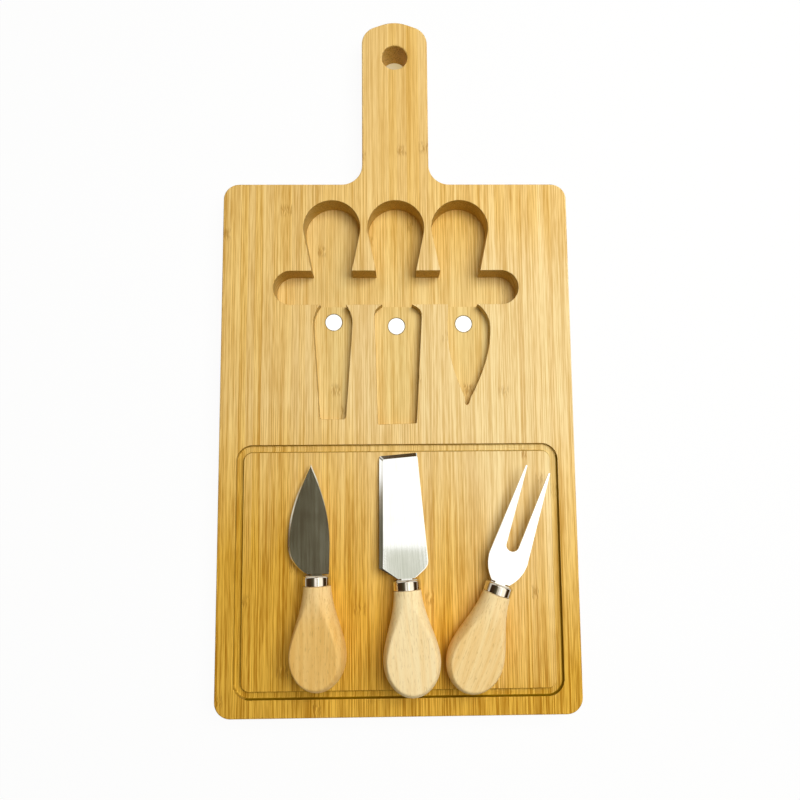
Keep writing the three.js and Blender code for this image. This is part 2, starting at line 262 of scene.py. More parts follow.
def joined(tree, x=0.0, y=0.0, z=0.0):
    return node(tree, "ShaderNodeCombineXYZ", {"X": x, "Y": y, "Z": z}).outputs[0]


def split(tree, vector):
    return node(tree, "ShaderNodeSeparateXYZ", {0: vector}).outputs


def shaping_tree(name, sizes):
    """A geometry tree with a named input for each size, and those inputs."""
    tree = bpy.data.node_groups.new(name, "GeometryNodeTree")
    tree.interface.new_socket("Geometry", in_out="INPUT", socket_type="NodeSocketGeometry")
    for size, kind in sizes.items():
        tree.interface.new_socket(size, in_out="INPUT", socket_type=f"NodeSocket{kind}")
    tree.interface.new_socket("Geometry", in_out="OUTPUT", socket_type="NodeSocketGeometry")
    return tree, tree.nodes.new("NodeGroupInput").outputs


def close_tree(tree, geometry, material):
    real = node(tree, "GeometryNodeRealizeInstances", {"Geometry": geometry}).outputs[0]
    painted = node(tree, "GeometryNodeSetMaterial", {"Geometry": real, "Material": material}).outputs[0]
    node(tree, "NodeGroupOutput", {"Geometry": painted})


def shaped_by(piece, tree, sizes):
    """Runs a geometry tree on a piece with these sizes, and keeps the plain mesh."""
    modifier = piece.modifiers.new(tree.name, "NODES")
    modifier.node_group = tree
    for socket in tree.interface.items_tree:
        if socket.in_out == "INPUT" and socket.name in sizes:
            modifier[socket.identifier] = sizes[socket.name]
    return settled(piece)


row_tree, row_in = shaping_tree("row of pockets", {"Pocket count": "Int", "Pocket pitch": "Float"})
row_gaps = calc(row_tree, "SUBTRACT", row_in["Pocket count"], 1.0)
row_first = times(row_tree, row_gaps, row_in["Pocket pitch"], -0.5)
row_line = node(row_tree, "GeometryNodeMeshLine", {
    "Count": row_in["Pocket count"], "Start Location": joined(row_tree, row_first),
    "Offset": joined(row_tree, row_in["Pocket pitch"])}).outputs[0]
row_of_cutters = node(row_tree, "GeometryNodeInstanceOnPoints", {
    "Points": row_line, "Instance": row_in["Geometry"]}).outputs[0]
close_tree(row_tree, row_of_cutters, routed_bamboo)


def handle_pocket_outline():
    """A circle round the handle's belly, with straight sides that close in to the neck in the slot."""
    neck_y = slot_y + slot_half_width
    drop = pocket_y - neck_y
    lean = math.asin(pocket_radius / math.hypot(pocket_neck, drop)) - math.atan2(pocket_neck, drop)
    neck = ((-pocket_neck, slot_y), (pocket_neck, slot_y), (pocket_neck, neck_y))
    outline = [Vector(corner) for corner in neck]
    for step in range(circle_steps + 1):
        turn = (math.pi + 2 * lean) * step / circle_steps - lean
        outline.append(Vector((0, pocket_y)) + pocket_radius * Vector((math.cos(turn), math.sin(turn))))
    outline.append(Vector((-pocket_neck, neck_y)))
    return outline


def rectangle(left, right, near, far):
    return [(left, near), (right, near), (right, far), (left, far)]


hole_cutter = cutter("hole cutter", circle(0, hole_y, hole_radius), -clear_above, rim=edge_round)
handle_pocket = cutter("handle pocket cutters", handle_pocket_outline(), pocket_floor)
handle_pockets = shaped_by(handle_pocket, row_tree, {
    "Pocket count": pocket_count, "Pocket pitch": pocket_pitch})
slot_outline = rounded([(x, y, slot_half_width) for x, y in rectangle(
    -slot_half_length, slot_half_length, slot_y - slot_half_width, slot_y + slot_half_width)])
finger_slot = cutter("finger slot cutter", slot_outline, pocket_floor)
cut(board, [hole_cutter, handle_pockets, finger_slot])

# A shallow pocket for each blade runs from the finger slot towards the near end, cut to the blade's
# own outline with a little room round it. A blind bore in its floor takes the magnet.
blade_floor = 0.0095
fit_gap = 0.0003
blade_room = 0.0004
blade_end_room = 0.0035
handle_end = -0.0595
stored_front_y = shoulder - pocket_margin - fit_gap + handle_end
curve_steps = 24
pointed_edge = 0.0165
pointed_spine = 0.0073
pointed_length = 0.0595
pointed_tip_x = -0.0031
flat_base = 0.0045
flat_rise = 0.0064
flat_left_heel = 0.0143
flat_right_heel = 0.0124
flat_right_round = 0.006
flat_pocket_round = 0.005
flat_tip = 0.0106
flat_tip_skew = 0.0006
flat_length = 0.0682
flat_corner = 0.0008
fork_side = 0.0108
fork_rise = 0.014
fork_tip = 0.00705
fork_length = 0.065
fork_pocket_round = 0.002


def bezier(start, first, second, end, steps=curve_steps):
    """The points after start on a curve drawn by two handles."""
    points = []
    for step in range(1, steps + 1):
        t = step / steps
        u = 1 - t
        points.append(u ** 3 * start + 3 * u * u * t * first + 3 * u * t * t * second + t ** 3 * end)
    return points


def pointed_outline(edge_growth=0, spine_growth=0, end_growth=0):
    """The pointed blade, with its cutting edge on the left and its spine on the right."""
    edge = pointed_edge + edge_growth
    spine = pointed_spine + spine_growth
    length = pointed_length + end_growth

    def at(side, share, along):
        return Vector((side * share, fit_gap + along * (length - fit_gap)))

    tip = Vector((pointed_tip_x, length))
    spine_middle = at(spine, 1, 0.27)
    belly = at(edge, -1, 0.28)
    outline = [at(spine, 0.93, 0), spine_middle]
    outline += bezier(spine_middle, at(spine, 1, 0.64), at(spine, -0.07, 0.89), tip)
    outline += bezier(tip, at(edge, -0.54, 0.82), at(edge, -1, 0.555), belly)
    outline += bezier(belly, at(edge, -1, 0.13), at(edge, -0.66, 0.045), at(edge, -0.35, 0))
    return outline


def flat_outline(growth=0, end_growth=0, heel_radius=flat_corner, side_growth=0, marks=()):
    """The flat blade, which is square at its tip and has sloping heels by the ferrule."""
    tip = flat_tip + growth
    end = flat_length + end_growth
    return rounded([
        (flat_base + growth, fit_gap, 0),
        (flat_right_heel + growth, flat_rise, flat_right_round),
        (tip, end, flat_corner),
        (-tip - side_growth, end - flat_tip_skew, flat_corner),
        *marks,
        (-flat_left_heel - growth - side_growth, flat_rise, heel_radius),
        (-flat_base - growth, fit_gap, 0),
    ])


def fork_shoulder(growth=0):
    """The fork's right side, from the ferrule to where its prongs start."""
    side = fork_side + growth

    def at(share, along):
        return Vector((side * share, fit_gap + along * (fork_rise - fit_gap)))

    base = at(0.46, 0)
    return [base] + bezier(base, at(0.74, 0.24), at(0.99, 0.55), Vector((side, fork_rise)))


def both_sides(right):
    """A closed outline from its right half, mirrored for the left."""
    return right + [Vector((-p.x, p.y)) for p in reversed(right) if p.x > nearest]


def fork_outline(growth, end_growth):
    """The fork without the gap between its prongs, for the pocket that it is stored in."""
    length = fork_length + end_growth
    prong = rounded([
        (fork_side + growth, fork_rise, 0),
        (fork_tip + growth, length, fork_pocket_round),
        (0, length, 0),
    ])
    return both_sides(fork_shoulder(growth) + prong[1:-1])


def stored(outline, x):
    """An outline turned round to point at the near end, where the tool is stored."""
    return [Vector((x - p.x, stored_front_y + blade_room - p.y)) for p in outline]


fork_pocket_x = 0.0008 - pocket_pitch
pointed_pocket_x = pocket_pitch - 0.0003
pointed_magnet_x = pointed_pocket_x + 0.0022
bore_radius = 0.00515
bore_floor = 0.0062
bore_rim = 0.0001
slot_near = slot_y - slot_half_width
magnet_places = [(x, slot_near - distance) for x, distance in (
    (fork_pocket_x, 0.0090), (0, 0.0114), (pointed_magnet_x, 0.0102))]

# The pointed pocket ends in a small round, which runs straight into the pocket's two sides. Two
# circles give its shape, each at a place seen from the blade's tip.
pocket_end_circles = (((-0.0004, -0.0002), 0.0011), ((0.00035, 0.0046), 0.00195))
pointed_tip = Vector((pointed_pocket_x - pointed_tip_x, stored_front_y - pointed_length))
end_rounds = []
for from_tip, radius in pocket_end_circles:
    end_rounds += circle(*(pointed_tip + Vector(from_tip)), radius)
pocket_end = without_doubles([end_rounds[i] for i in convex_hull_2d(end_rounds)])
end_growth = blade_room + blade_end_room
fork_pocket = stored(fork_outline(blade_room, end_growth), fork_pocket_x)
flat_pocket = stored(flat_outline(blade_room, end_growth, heel_radius=flat_pocket_round), 0)
pointed_pocket = stored(pointed_outline(blade_room, blade_room, 2 * blade_room), pointed_pocket_x)
blade_cutters = [cutter(f"{pocket} cutter", outline, blade_floor) for pocket, outline in (
    ("fork pocket", fork_pocket), ("flat pocket", flat_pocket),
    ("pointed pocket", pointed_pocket), ("pocket end", pocket_end))]
blade_cutters += [cutter("bore cutter", circle(x, y, bore_radius), bore_floor, bore_rim, blade_floor)
                  for x, y in magnet_places]
cut(board, blade_cutters)

# The juice groove is routed last, with a small cutter that has rounded corners and follows a
# rectangle with rounded corners. Its floor lies 2 mm below the surface.
groove_half_width = 0.0021
groove_depth = 0.002
groove_floor_round = 0.0013
groove_floor_steps = 6
groove_margin = 0.010
groove_field_length = 0.1375
groove_corner = 0.009

groove_tree, groove_in = shaping_tree("groove round a field", {
    "Field width": "Float", "Field length": "Float", "Corner radius": "Float", "Corner steps": "Int",
    "Place": "Vector"})
groove_path = node(groove_tree, "GeometryNodeCurvePrimitiveQuadrilateral", {
    "Width": groove_in["Field width"], "Height": groove_in["Field length"]}).outputs[0]
groove_fillet = node(groove_tree, "GeometryNodeFilletCurve", {
    "Curve": groove_path, "Radius": groove_in["Corner radius"],
    "Count": groove_in["Corner steps"]}, mode="POLY").outputs[0]
groove_upright = node(groove_tree, "GeometryNodeSetCurveNormal", {
    "Curve": groove_fillet}, mode="Z_UP").outputs[0]
groove_section = node(groove_tree, "GeometryNodeMeshToCurve", {"Mesh": groove_in["Geometry"]}).outputs[0]
groove_sweep = node(groove_tree, "GeometryNodeCurveToMesh", {
    "Curve": groove_upright, "Profile Curve": groove_section}).outputs[0]
groove_placed = node(groove_tree, "GeometryNodeTransform", {
    "Geometry": groove_sweep, "Translation": groove_in["Place"]}).outputs[0]
close_tree(groove_tree, groove_placed, routed_bamboo)


def from_points(name, points, edges=(), faces=()):
    mesh = bpy.data.meshes.new(name)
    mesh.from_pydata(points, edges, faces)
    return in_scene(name, mesh)


def chain(name, points, closed=False):
    """A line of points joined by edges, for a tree to sweep or turn."""
    edges = [(i, i + 1) for i in range(len(points) - 1)]
    if closed:
        edges.append((len(points) - 1, 0))
    return from_points(name, [(x, y, 0) for x, y in points], edges)


def groove_profile():
    """Half of the cutter's section and its mirror image: across, and down from the surface."""
    half = [(groove_half_width - groove_floor_round * (1 - math.sin(turn)),
             groove_depth - groove_floor_round * (1 - math.cos(turn)))
            for turn in quarter_turn(groove_floor_steps)]
    half += [(groove_half_width + outward, down) for outward, down in soft_rim(rim_round)]
    return half + [(-x, y) for x, y in reversed(half)]


groove_cutter = shaped_by(chain("groove cutter", groove_profile(), closed=True), groove_tree, {
    "Field width": board_width - 2 * (groove_margin + groove_half_width),
    "Field length": groove_field_length - 2 * groove_half_width,
    "Corner radius": groove_corner - groove_half_width,
    "Corner steps": corner_steps,
    "Place": (0, near_end + groove_margin + groove_field_length / 2, board_thickness),
})


def facing_out(piece):
    """Turns a closed mesh's faces outwards, after its doubles are merged."""
    skin = bmesh.new()
    skin.from_mesh(piece.data)
    bmesh.ops.remove_doubles(skin, verts=skin.verts, dist=nearest / 10)
    bmesh.ops.recalc_face_normals(skin, faces=skin.faces)
    skin.to_mesh(piece.data)
    skin.free()
    return piece


def shaded(piece, crease=math.radians(32)):
    """Smooths a piece between its creases, with the flat faces kept flat."""
    piece.data.shade_smooth()
    piece.data.set_sharp_from_angle(angle=crease)
    weighting = piece.modifiers.new("weighting", "WEIGHTED_NORMAL")
    weighting.keep_sharp = True
    return settled(piece)


cut(board, [facing_out(groove_cutter)])
shaded(board)

# The strips stand on edge, so each shows the culm's wall from the side: fine dark fibres that run
# the board's length and crowd towards one side of the strip, with a knuckle here and there.
strip_width = 0.0048
bundle_width = 0.00044
knuckle_pitch = 0.26
knuckle_push = 0.0024
# One scale from pale to deep gold, for the strips' ripeness and for painted shade
ripeness_and_shade_stops = (0.0, 0.35, 0.7, 1.0)
light_tones = ((255, 234, 180), (255, 227, 169), (255, 216, 130), (250, 201, 85))
dark_tones = ((231, 198, 135), (220, 180, 108), (206, 156, 70), (184, 129, 28))
patch_tone = (226, 214, 196)
scar_tone = (156, 106, 30)
fibre_end_tones = ((222, 180, 90), (160, 118, 40))
sunk_tone = (250, 249, 232)
burn_and_shade_tone = (122, 93, 0)

# The places where its look changes, each from one end to the other of the change
on_the_paddle = (shoulder - 0.01, shoulder + 0.01)
far_part = (0.02, 0.09)
near_part = (-0.02, -0.07)
to_near_end = (-0.03, near_end)
past_the_field = (-0.055, -0.045)
near_rim = (near_end + 0.018, near_end + 0.006)
left_to_right = (-body_side, body_side)
right_strips = (0.02, 0.06)
last_strip = (0.086, 0.092)
past_fork_pocket = (-0.030, -0.020)
palest_from = 0.06
below_the_rims = (board_thickness - 0.0004, board_thickness - 0.0012)


def tone(red, green, blue):
    """A colour as it is seen, from 0 to 255, as the shader's own numbers."""
    seen = [value / 255 for value in (red, green, blue)]
    return [v / 12.92 if v <= 0.04045 else ((v + 0.055) / 1.055) ** 2.4 for v in seen] + [1.0]


def weighted(tree, *parts):
    """The sum of several values, each times its own weight."""
    total = 0.0
    for value, weight in parts:
        total = calc(tree, "MULTIPLY_ADD", value, weight, total)
    return total


def stepped(tree, value, low, high, start=0.0, end=1.0, course="SMOOTHSTEP"):
    """A value that goes from start to end, softly as a rule, while the other goes from low to high."""
    return node(tree, "ShaderNodeMapRange", {
        "Value": value, "From Min": low, "From Max": high, "To Min": start, "To Max": end,
    }, interpolation_type=course).outputs[0]


def mixed(tree, share, first, second, blend_type="MIX"):
    return node(tree, "ShaderNodeMix", {0: share, 6: first, 7: second},
                data_type="RGBA", blend_type=blend_type).outputs[2]


def stretched(tree, place, scale, shift=(0, 0, 0)):
    return node(tree, "ShaderNodeMapping", {
        "Vector": place, "Scale": scale, "Location": shift}).outputs[0]


def noise(tree, place, scale, detail=2.0, roughness=0.5, shift=(0, 0, 0)):
    """Soft random patches, scale of them to a metre along each axis."""
    return node(tree, "ShaderNodeTexNoise", {
        "Vector": stretched(tree, place, scale, shift), "Scale": 1.0, "Detail": detail,
        "Roughness": roughness}).outputs["Fac"]


def drawn(tree, number):
    """A random draw for each whole number, always the same for the same one."""
    return node(tree, "ShaderNodeTexWhiteNoise", {"W": number}, noise_dimensions="1D").outputs


def ramped(tree, value, stops):
    """A colour that goes through these stops as the value rises."""
    made = node(tree, "ShaderNodeValToRGB", {0: value})
    elements = made.color_ramp.elements
    while len(elements) < len(stops):
        elements.new(0.5)
    for element, (position, _) in zip(elements, stops):
        element.position = position
    for element, (_, seen) in zip(elements, stops):
        element.color = tone(*seen)
    return made.outputs[0]


def relieved(tree, height, strength, depth):
    return node(tree, "ShaderNodeBump", {
        "Height": height, "Strength": strength, "Distance": depth}).outputs[0]


def tree_of(material):
    material.use_nodes = True
    return material.node_tree


def bamboo_finish(material):
    tree = tree_of(material)
    place = node(tree, "ShaderNodeTexCoord").outputs["Object"]
    x, y, z = split(tree, place)

    # Which strip a point is in, and where it lies across that strip
    drift = noise(tree, joined(tree, x), (95, 95, 95), 0.0)
    across = weighted(tree, (x, 1 / strip_width), (drift, 1.6))
    strip = calc(tree, "FLOOR", across)
    within = calc(tree, "FRACT", across)
    strip_draw = drawn(tree, strip)
    draws = node(tree, "ShaderNodeSeparateColor", {0: strip_draw["Color"]}).outputs
    place_draw, strength_draw, side_draw = draws

    # A knuckle crosses a strip at each pitch, at a place of its own, and only some are strong
    along = weighted(tree, (y, 1 / knuckle_pitch), (place_draw, 7.0))
    from_knuckle = calc(tree, "ABSOLUTE", calc(tree, "SUBTRACT", calc(tree, "FRACT", along), 0.5))
    knuckle = times(tree, stepped(tree, from_knuckle, 0.004, 0.019, 1.0, 0.0),
                    stepped(tree, strength_draw, 0.25, 0.75))

    # Fibres lie in bundles, pushed aside round the knuckles, and crowd to one side of their strip
    sway = calc(tree, "SUBTRACT", noise(tree, place, (380, 190, 380), 1.0), 0.5)
    pushed_x = calc(tree, "MULTIPLY_ADD", sway, times(tree, knuckle, knuckle_push), x)
    pushed = joined(tree, pushed_x, calc(tree, "MULTIPLY_ADD", strip, 0.37, y), z)
    broad = noise(tree, pushed, (210, 8, 210))
    slanted = calc(tree, "MULTIPLY_ADD", z, 0.9, pushed_x)
    bundle_draw = drawn(tree, calc(tree, "FLOOR", calc(tree, "DIVIDE", slanted, bundle_width)))["Value"]
    in_bundle = joined(tree, times(tree, bundle_draw, 90.0), y)
    long_lines = noise(tree, in_bundle, (1, 14, 1), 0.0)
    short_lines = noise(tree, in_bundle, (1, 80, 1), 1.0, shift=(3.7, 0.1, 0.7))
    crowded_side = calc(tree, "GREATER_THAN", side_draw, 0.5)
    crowd = calc(tree, "ABSOLUTE", calc(tree, "SUBTRACT", crowded_side, within))
    fibres = weighted(tree, (long_lines, 0.48), (short_lines, 0.32), (broad, 0.10), (bundle_draw, 0.04),
                      (crowd, 0.04))
    dark = stepped(tree, fibres, 0.34, 0.66)
    paddle_calm = stepped(tree, y, *on_the_paddle, 0.0, 0.4)
    dark = calc(tree, "MULTIPLY_ADD", calc(tree, "SUBTRACT", 0.5, dark), paddle_calm, dark)

    # Ripeness: each strip's own tone, over a drift from pale strips on the right to deep gold on
    # the left of the near half. The drift is partly painted shade: it deepens the left, the near end,
    # the near rim and the far right as a falloff of light would, and it paints the left pockets'
    # floors paler against their shade
    slow = noise(tree, place, (14, 5, 14), 1.0, shift=(0.31, 0.2, 0))
    leftward = calc(tree, "MINIMUM", x, palest_from)
    far_right = times(tree, stepped(tree, y, *far_part), stepped(tree, x, *left_to_right, 0.0, 0.44))
    nearer = stepped(tree, y, *to_near_end, 0.0, 0.89, "LINEAR")
    on_the_right = calc(tree, "ADD", stepped(tree, x, *right_strips, 0.0, -0.18),
                        stepped(tree, x, *last_strip, 0.0, 0.32))
    near_right = times(tree, on_the_right, stepped(tree, y, *near_part))
    sunk = stepped(tree, z, *below_the_rims)
    in_pockets = times(tree, sunk, stepped(tree, y, *past_the_field),
                       stepped(tree, x, *past_fork_pocket, -0.18, 0.05))
    at_near_rim = stepped(tree, y, *near_rim, 0.0, 0.22)
    ripeness_and_shade = weighted(tree, (leftward, -3.2), (nearer, 1), (slow, 0.30), (strip_draw["Value"], 0.14),
                    (broad, 0.22), (far_right, 1), (near_right, 1), (in_pockets, 1), (at_near_rim, 1))
    light_tone = ramped(tree, ripeness_and_shade, list(zip(ripeness_and_shade_stops, light_tones)))
    dark_tone = ramped(tree, ripeness_and_shade, list(zip(ripeness_and_shade_stops, dark_tones)))

    # The lines in those tones, with whole patches a shade darker and the knuckles' short scars
    patch = stepped(tree, weighted(tree, (broad, 0.34), (strength_draw, 0.14)), 0.08, 0.48, 0.0, 0.52)
    lined = mixed(tree, dark, light_tone, dark_tone)
    patched = mixed(tree, patch, lined, tone(*patch_tone), "MULTIPLY")
    strokes = noise(tree, pushed, (1000, 150, 1000), 2.0, 0.6)
    scar = times(tree, stepped(tree, strokes, 0.44, 0.58), knuckle)
    marked = mixed(tree, times(tree, scar, 0.5), patched, tone(*scar_tone))

    # Routed walls, and the groove's floor a little, are darkened: partly the cutter's burn, partly
    # painted shade in the recesses and on faces turned from the light. Across the grain the fibre
    # ends show as dots
    normal = split(tree, node(tree, "ShaderNodeNewGeometry").outputs["Normal"])
    burn_and_shade = node(tree, "ShaderNodeAttribute", attribute_name="burn_and_shade").outputs["Fac"]
    steep = stepped(tree, calc(tree, "ABSOLUTE", normal["Z"]), 0.985, 0.55)
    wall = times(tree, stepped(tree, steep, 0.0, 1.0, 0.08, 1.0), burn_and_shade)
    end_grain = stepped(tree, calc(tree, "ABSOLUTE", normal["Y"]), 0.45, 0.9)
    dots = node(tree, "ShaderNodeTexVoronoi", {
        "Vector": stretched(tree, place, (1500, 0, 1500)), "Scale": 1.0}).outputs["Distance"]
    around_end, fibre_end = fibre_end_tones
    ends = mixed(tree, stepped(tree, dots, 0.55, 0.2), tone(*around_end), tone(*fibre_end))
    ended = mixed(tree, times(tree, end_grain, 0.8), marked, ends)
    # Below the rims the routed wood is a touch darker and warmer: partly its own tone, partly painted
    # shade in the pockets
    deeper = mixed(tree, sunk, ended, tone(*sunk_tone), "MULTIPLY")
    fill(tree, tree.nodes["Principled BSDF"], {
        "Base Color": mixed(tree, times(tree, wall, 0.25), deeper, tone(*burn_and_shade_tone)),
        "Roughness": stepped(tree, fibres, 0.3, 0.7, 0.46, 0.62),
        "Specular IOR Level": 0.22,
        "Normal": relieved(tree, weighted(tree, (fibres, -1.0), (scar, -0.5)), 0.3, 0.00010)})


# How dark each kind of cut face is painted. The cutter's burn darkens them all a little; the rest is
# painted shade, strongest in the groove and on its faces turned from the light, with painted light
# keeping the groove's far part and its faces towards the light paler. Pocket walls that face right are
# darker still.
hole_burn_and_shade = 0.3
pocket_burn_and_shade = 1.0
pocket_right_facing_darkening = 0.9
groove_burn_and_shade = 5.5
groove_shaded_side_darkening = 9.0
groove_lit_side_darkening = 2.0
groove_far_part_darkening = 2.3
leans_right = 0.2


def marked_with_burn_and_shade(piece):
    """Tells the material how dark each cut face is painted, partly for the cutter's burn and partly
    as painted shade: the hole's the least, the groove's the most, its faces turned from the light
    darker still and those facing the light paler.
    """
    cut_slot = piece.data.materials.find(routed_bamboo.name)
    faces = piece.data.polygons
    groove_far = near_end + groove_margin + groove_field_length + groove_half_width
    groove_turn = groove_far - groove_corner

    def darkening_of(face):
        if face.material_index != cut_slot:
            return 0.0
        if face.center.y > shoulder:
            return hole_burn_and_shade
        if face.center.y > groove_far:
            return pocket_burn_and_shade + pocket_right_facing_darkening * max(0.0, face.normal.x)
        if face.center.y > groove_turn:
            return groove_far_part_darkening
        if face.normal.x > leans_right:
            return groove_lit_side_darkening
        return groove_shaded_side_darkening if face.normal.x < -leans_right else groove_burn_and_shade

    burn_and_shade = piece.data.attributes.new("burn_and_shade", "FLOAT", "FACE")
    burn_and_shade.data.foreach_set("value", [darkening_of(face) for face in faces])
    faces.foreach_set("material_index", [0] * len(faces))
    piece.data.materials.clear()
    piece.data.materials.append(bamboo)


bamboo_finish(bamboo)
marked_with_burn_and_shade(board)
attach(board, "board")
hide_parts("board")

# A nickel-plated disc magnet is pressed into each blade pocket's floor, level with it, and holds
# the blade down. All three are the same 10 mm disc with a small chamfer round its face.
magnet_radius = 0.005
magnet_thickness = 0.003
magnet_chamfer = 0.00025


def as_made(tree, laid):
    """Object coordinates as they were before the piece was laid in its tool's place."""
    return node(tree, "ShaderNodeMapping", {
        "Vector": node(tree, "ShaderNodeTexCoord").outputs["Object"],
        "Location": laid.to_translation(), "Rotation": laid.to_euler("XYZ"),
    }, vector_type="TEXTURE").outputs[0]


def metal_finish(name, colour, stain, roughness, lines_across, laid=Matrix(),
                 relief=0.00002, spread=0.06):
    """Polished metal with fine lines along the tool: colour, roughness and relief all follow them."""
    material = bpy.data.materials.new(name)
    tree = tree_of(material)
    place = as_made(tree, laid)
    lines = noise(tree, place, lines_across, 3.0, 0.6)
    cloud = noise(tree, place, (70, 70, 70))
    shade = weighted(tree, (lines, 0.55), (cloud, 0.45))
    fill(tree, tree.nodes["Principled BSDF"], {
        "Base Color": mixed(tree, stepped(tree, shade, 0.34, 0.66), stain, colour),
        "Roughness": stepped(tree, shade, 0.25, 0.75, roughness - spread / 2, roughness + spread / 2),
        "Metallic": 1.0,
        "Normal": relieved(tree, lines, 0.3, relief)})
    return material


nickel = metal_finish("nickel plate", tone(248, 248, 246), tone(238, 238, 234),
                      roughness=0.16, lines_across=(700, 700, 700))
disc_tree, disc_in = shaping_tree("chamfered discs", {
    "Radius": "Float", "Thickness": "Float", "Chamfer": "Float", "Steps": "Int"})


def disc_raised(mesh, height, top=True):
    """A disc with its top face raised, and with that face marked as its new top."""
    return node(disc_tree, "GeometryNodeExtrudeMesh", {
        "Mesh": mesh, "Selection": top, "Offset": joined(disc_tree, z=height), "Individual": False,
    }, mode="FACES").outputs


disc_round = node(disc_tree, "GeometryNodeMeshCircle", {
    "Vertices": disc_in["Steps"], "Radius": disc_in["Radius"]}, fill_type="NGON").outputs[0]
disc_wall = disc_raised(disc_round, calc(disc_tree, "SUBTRACT", disc_in["Thickness"], disc_in["Chamfer"]))
disc_top = disc_raised(disc_wall["Mesh"], disc_in["Chamfer"], disc_wall["Top"])
disc_face_radius = calc(disc_tree, "SUBTRACT", disc_in["Radius"], disc_in["Chamfer"])
disc_face = node(disc_tree, "GeometryNodeScaleElements", {
    "Geometry": disc_top["Mesh"], "Selection": disc_top["Top"],
    "Scale": calc(disc_tree, "DIVIDE", disc_face_radius, disc_in["Radius"])}).outputs[0]
disc_back = node(disc_tree, "GeometryNodeFlipFaces", {"Mesh": disc_round}).outputs[0]
disc_parts = disc_tree.nodes.new("GeometryNodeJoinGeometry")
disc_tree.links.new(disc_face, disc_parts.inputs[0])
disc_tree.links.new(disc_back, disc_parts.inputs[0])
disc_whole = node(disc_tree, "GeometryNodeMergeByDistance", {
    "Geometry": disc_parts.outputs[0], "Distance": nearest}).outputs[0]
disc_set = node(disc_tree, "GeometryNodeInstanceOnPoints", {
    "Points": disc_in["Geometry"], "Instance": disc_whole}).outputs[0]
close_tree(disc_tree, disc_set, nickel)

magnets = from_points("disc_magnets", [(x, y, blade_floor - magnet_thickness) for x, y in magnet_places])
shaped_by(magnets, disc_tree, {
    "Radius": magnet_radius, "Thickness": magnet_thickness, "Chamfer": magnet_chamfer,
    "Steps": circle_steps})
shaded(facing_out(magnets))
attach(magnets, "board")
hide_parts("magnet_left", "magnet_middle", "magnet_right")

# The three tools lie on the groove's field as they were put down: the pointed knife leans on its
# cutting edge, the flat knife rests on its tip, and the fork lies flat and turned to the right.
# Each has a place for its ferrule's front, then degrees of turn, of pitch and of roll.
tool_bodies = {"pointed": "pointed_knife", "flat": "flat_knife", "fork": "fork"}
tool_places = {
    "pointed": ((-0.0436, -0.12332, 0.022934), (1.2, -3.857, -10.0)),
    "flat": ((0.0044, -0.126289, 0.022761), (3.4, -5.652, 0.0)),
    "fork": ((0.0546, -0.128871, 0.0233), (-20.0, 0.0, 0.0)),
}
tool_frames = {}
for tool, (spot, turns) in tool_places.items():
    yaw, pitch, roll = [
        Matrix.Rotation(math.radians(angle), 4, axis) for angle, axis in zip(turns, "ZXY")]
    tool_frames[tool] = Matrix.Translation(spot) @ yaw @ pitch @ roll


def hand_over(piece, tool, part, material):
    """Lays a finished piece in its tool's place, gives it its material, and hides the solid it stands
    for.
    """
    piece.data.transform(tool_frames[tool])
    piece.data.materials.clear()
    piece.data.materials.append(material)
    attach(piece, tool_bodies[tool])
    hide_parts(f"{tool_bodies[tool]}_{part}")


# A handle is turned from pale beech to a pear shape, then sanded flat above and below. A spigot at
# its neck fills the ferrule, and a sawn slot takes the blade's tang.
belly_radius = 0.01515
neck_radius = 0.0074
end_length = 0.018
half_thickness = 0.008
flat_softness = 0.0011
ferrule_radius = 0.0075
ferrule_length = 0.0055
ferrule_wall = 0.0007
tang_half_width = 0.003
tang_length = 0.034
blade_half = 0.00075
turning_steps = 160
path_radius = 0.02
end_steps = 28
side_steps = 44
handle_crease = math.radians(45)
neck_part = (-0.030, -0.006)
neck_tone = (255, 240, 200)

turning_tree, turning_in = shaping_tree("turned on an axis", {
    "Turning steps": "Int", "Path radius": "Float", "Half thickness": "Float", "Softness": "Float",
    "Finish": "Material"})
turning_circle = node(turning_tree, "GeometryNodeCurvePrimitiveCircle", {
    "Resolution": turning_in["Turning steps"], "Radius": turning_in["Path radius"]}).outputs[0]
turning_upright = node(turning_tree, "GeometryNodeSetCurveNormal", {
    "Curve": turning_circle}, mode="Z_UP").outputs[0]
turning_section = node(turning_tree, "GeometryNodeMeshToCurve", {
    "Mesh": turning_in["Geometry"]}).outputs[0]
turning_sweep = node(turning_tree, "GeometryNodeCurveToMesh", {
    "Curve": turning_upright, "Profile Curve": turning_section}).outputs[0]
turning_whole = node(turning_tree, "GeometryNodeMergeByDistance", {
    "Geometry": turning_sweep, "Distance": nearest}).outputs[0]
turned_place = node(turning_tree, "GeometryNodeInputPosition").outputs[0]
turned_x, turned_y, turned_z = split(turning_tree, turned_place)
turning_height = calc(turning_tree, "SMOOTH_MIN", calc(turning_tree, "ABSOLUTE", turned_y),
                      turning_in["Half thickness"], turning_in["Softness"])
turning_flat = times(turning_tree, turning_height, calc(turning_tree, "SIGN", turned_y))
turning_final = node(turning_tree, "GeometryNodeSetPosition", {
    "Geometry": turning_whole,
    "Position": joined(turning_tree, turned_x, turned_z, turning_flat)}).outputs[0]
close_tree(turning_tree, turning_final, turning_in["Finish"])


def turned(name, profile, finish, flat_at=1.0, softness=0.0):
    """A closed piece turned on the tool's axis, and sanded flat where it is thicker than flat_at."""
    section = chain(name, [(radius - path_radius, -along) for radius, along in profile])
    shaped_by(section, turning_tree, {
        "Turning steps": turning_steps, "Path radius": path_radius, "Half thickness": flat_at,
        "Softness": softness, "Finish": finish})
    return facing_out(section)


